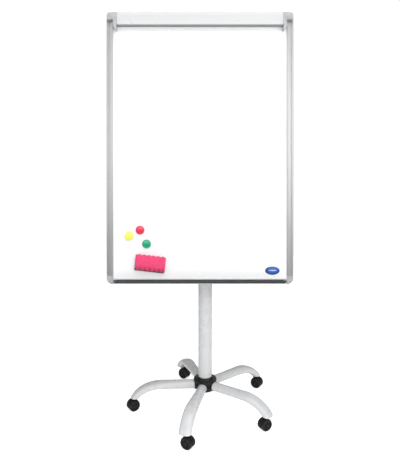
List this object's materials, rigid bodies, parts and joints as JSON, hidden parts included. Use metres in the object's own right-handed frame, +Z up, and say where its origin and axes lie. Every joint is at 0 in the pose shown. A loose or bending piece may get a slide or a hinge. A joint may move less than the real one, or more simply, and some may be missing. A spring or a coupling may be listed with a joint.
{
  "type": "flipchart easel",
  "caption": "Mobile flipchart easel: white magnetic board with a paper clamp and pen tray, tilting on a telescopic column with five bent legs on twin-wheel casters.",
  "frame": {"origin": "on the floor under the middle of the whole easel's box", "axes": "+Z up, +X to the right as the reader sees the board, -Y towards the reader"},
  "size_m": [0.7, 0.6076, 1.5837],
  "materials": {
    "white_paint": "off-white powder coat, satin",
    "collar_plastic": "light grey moulded plastic",
    "black_plastic": "black moulded plastic, fine grain",
    "zinc_steel": "zinc-plated steel",
    "aluminium": "satin anodised extrusion",
    "cap_plastic": "light grey moulded plastic",
    "clamp_white": "white coated extrusion",
    "grip_rubber": "grey rubber strip",
    "tray_plastic": "charcoal moulded plastic",
    "writing_lacquer": "glossy white lacquer for dry-wipe pens",
    "fibreboard": "bare fibreboard with a grey backing foil",
    "magnet_red": "glossy red plastic cap",
    "magnet_yellow": "glossy yellow plastic cap",
    "magnet_green": "glossy green plastic cap",
    "eraser_foam": "pink foam with a dark felt face"
  },
  "bodies": {
    "base": {"hub": "black_plastic", "hub_bolt": "zinc_steel", "lower_tube": "white_paint", "column_collar": "collar_plastic", "front_leg": "white_paint", "left_leg": "white_paint", "rear_left_leg": "white_paint", "rear_right_leg": "white_paint", "right_leg": "white_paint", "front_caster_stem": "zinc_steel", "left_caster_stem": "zinc_steel", "rear_left_caster_stem": "zinc_steel", "rear_right_caster_stem": "zinc_steel", "right_caster_stem": "zinc_steel"},
    "height_knob": {"height_knob": "black_plastic"},
    "mast": {"upper_tube": "white_paint", "mast_head": "black_plastic"},
    "board": {"tilt_bracket": "zinc_steel", "tilt_bolt": "zinc_steel", "crossbar": "aluminium", "writing_sheet": "writing_lacquer", "core_board": "fibreboard", "side_profile_left": "aluminium", "side_profile_right": "aluminium", "bottom_rail": "aluminium", "corner_cap_left": "cap_plastic", "corner_cap_right": "cap_plastic", "pen_tray": "tray_plastic", "clamp_rail": "clamp_white", "clamp_cap_left": "cap_plastic", "clamp_cap_right": "cap_plastic"},
    "tilt_knob": {"tilt_knob": "black_plastic"},
    "clamp": {"clamp_bar": "clamp_white", "clamp_grip": "grip_rubber"},
    "peg_left": {"paper_peg_left": "black_plastic"},
    "peg_right": {"paper_peg_right": "black_plastic"},
    "magnet_red": {"magnet_red": "magnet_red"},
    "magnet_yellow": {"magnet_yellow": "magnet_yellow"},
    "magnet_green": {"magnet_green": "magnet_green"},
    "eraser": {"eraser": "eraser_foam"},
    "front_caster": {"front_caster_hood": "black_plastic", "front_caster_axle": "zinc_steel"},
    "left_caster": {"left_caster_hood": "black_plastic", "left_caster_axle": "zinc_steel"},
    "rear_left_caster": {"rear_left_caster_hood": "black_plastic", "rear_left_caster_axle": "zinc_steel"},
    "rear_right_caster": {"rear_right_caster_hood": "black_plastic", "rear_right_caster_axle": "zinc_steel"},
    "right_caster": {"right_caster_hood": "black_plastic", "right_caster_axle": "zinc_steel"},
    "front_wheel_left": {"front_caster_wheel_left": "black_plastic"},
    "front_wheel_right": {"front_caster_wheel_right": "black_plastic"},
    "left_wheel_left": {"left_caster_wheel_left": "black_plastic"},
    "left_wheel_right": {"left_caster_wheel_right": "black_plastic"},
    "rear_left_wheel_left": {"rear_left_caster_wheel_left": "black_plastic"},
    "rear_left_wheel_right": {"rear_left_caster_wheel_right": "black_plastic"},
    "rear_right_wheel_left": {"rear_right_caster_wheel_left": "black_plastic"},
    "rear_right_wheel_right": {"rear_right_caster_wheel_right": "black_plastic"},
    "right_wheel_left": {"right_caster_wheel_left": "black_plastic"},
    "right_wheel_right": {"right_caster_wheel_right": "black_plastic"}
  },
  "joints": [
    {"name": "board_tilt", "type": "hinge", "parent": "mast", "child": "board", "pos_m": [0.021, 0.013, 0.94], "axis": [-1, 0, 0], "range_deg": [-12.2, 32.8]},
    {"name": "clamp_open", "type": "hinge", "parent": "board", "child": "clamp", "pos_m": [0, 0.07845, 1.57399], "axis": [-1, 0, 0], "range_deg": [0, 70], "stiffness_Nm_per_rad": 0.4, "springref_deg": -34.38},
    {"name": "column_height", "type": "slide", "parent": "base", "child": "mast", "axis": [0, 0, 1], "range_m": [0, 0.3]},
    {"name": "eraser_lift", "type": "slide", "parent": "board", "child": "eraser", "axis": [0, -0.9774, 0.2113], "range_m": [0, 0.06]},
    {"name": "knob_height_turn", "type": "hinge", "parent": "base", "child": "height_knob", "pos_m": [0.021, 0.013, 0.555], "axis": [0, 1, 0], "range_deg": [-30, 330]},
    {"name": "knob_tilt_turn", "type": "hinge", "parent": "board", "child": "tilt_knob", "pos_m": [0.021, 0.013, 0.94], "axis": [1, 0, 0], "range_deg": [-30, 330]},
    {"name": "magnet_green_lift", "type": "slide", "parent": "board", "child": "magnet_green", "axis": [0, -0.9774, 0.2113], "range_m": [0, 0.04]},
    {"name": "magnet_red_lift", "type": "slide", "parent": "board", "child": "magnet_red", "axis": [0, -0.9774, 0.2113], "range_m": [0, 0.04]},
    {"name": "magnet_yellow_lift", "type": "slide", "parent": "board", "child": "magnet_yellow", "axis": [0, -0.9774, 0.2113], "range_m": [0, 0.04]},
    {"name": "peg_left_slide", "type": "slide", "parent": "board", "child": "peg_left", "axis": [1, 0, 0], "range_m": [-0.12, 0.09]},
    {"name": "peg_right_slide", "type": "slide", "parent": "board", "child": "peg_right", "axis": [1, 0, 0], "range_m": [-0.09, 0.12]},
    {"name": "swivel_front", "type": "hinge", "parent": "base", "child": "front_caster", "pos_m": [-0.05504, -0.26686, 0.045], "axis": [0, 0, 1], "continuous": true},
    {"name": "swivel_left", "type": "hinge", "parent": "base", "child": "left_caster", "pos_m": [-0.26865, -0.00117, 0.045], "axis": [0, 0, 1], "continuous": true},
    {"name": "swivel_rear_left", "type": "hinge", "parent": "base", "child": "rear_left_caster", "pos_m": [-0.08198, 0.2841, 0.045], "axis": [0, 0, 1], "continuous": true},
    {"name": "swivel_rear_right", "type": "hinge", "parent": "base", "child": "rear_right_caster", "pos_m": [0.24701, 0.19471, 0.045], "axis": [0, 0, 1], "continuous": true},
    {"name": "swivel_right", "type": "hinge", "parent": "base", "child": "right_caster", "pos_m": [0.26366, -0.14579, 0.045], "axis": [0, 0, 1], "continuous": true},
    {"name": "wheel_front_left", "type": "hinge", "parent": "front_caster", "child": "front_wheel_left", "pos_m": [-0.03916, -0.2641, 0.0235], "axis": [0.5299, 0.848, 0], "continuous": true},
    {"name": "wheel_front_right", "type": "hinge", "parent": "front_caster", "child": "front_wheel_right", "pos_m": [-0.05056, -0.28233, 0.0235], "axis": [0.5299, 0.848, 0], "continuous": true},
    {"name": "wheel_left_left", "type": "hinge", "parent": "left_caster", "child": "left_wheel_left", "pos_m": [-0.27259, -0.01679, 0.0235], "axis": [0.5592, -0.829, 0], "continuous": true},
    {"name": "wheel_left_right", "type": "hinge", "parent": "left_caster", "child": "left_wheel_right", "pos_m": [-0.28461, 0.00103, 0.0235], "axis": [0.5592, -0.829, 0], "continuous": true},
    {"name": "wheel_rear_left_left", "type": "hinge", "parent": "rear_left_caster", "child": "rear_left_wheel_left", "pos_m": [-0.06595, 0.28574, 0.0235], "axis": [0.5878, 0.809, 0], "continuous": true},
    {"name": "wheel_rear_left_right", "type": "hinge", "parent": "rear_left_caster", "child": "rear_left_wheel_right", "pos_m": [-0.07859, 0.26835, 0.0235], "axis": [0.5878, 0.809, 0], "continuous": true},
    {"name": "wheel_rear_right_left", "type": "hinge", "parent": "rear_right_caster", "child": "rear_right_wheel_left", "pos_m": [0.26297, 0.19692, 0.0235], "axis": [0.5592, 0.829, 0], "continuous": true},
    {"name": "wheel_rear_right_right", "type": "hinge", "parent": "rear_right_caster", "child": "rear_right_wheel_right", "pos_m": [0.25094, 0.17909, 0.0235], "axis": [0.5592, 0.829, 0], "continuous": true},
    {"name": "wheel_right_left", "type": "hinge", "parent": "right_caster", "child": "right_wheel_left", "pos_m": [0.25918, -0.16127, 0.0235], "axis": [0.5299, -0.848, 0], "continuous": true},
    {"name": "wheel_right_right", "type": "hinge", "parent": "right_caster", "child": "right_wheel_right", "pos_m": [0.24779, -0.14304, 0.0235], "axis": [0.5299, -0.848, 0], "continuous": true}
  ]
}
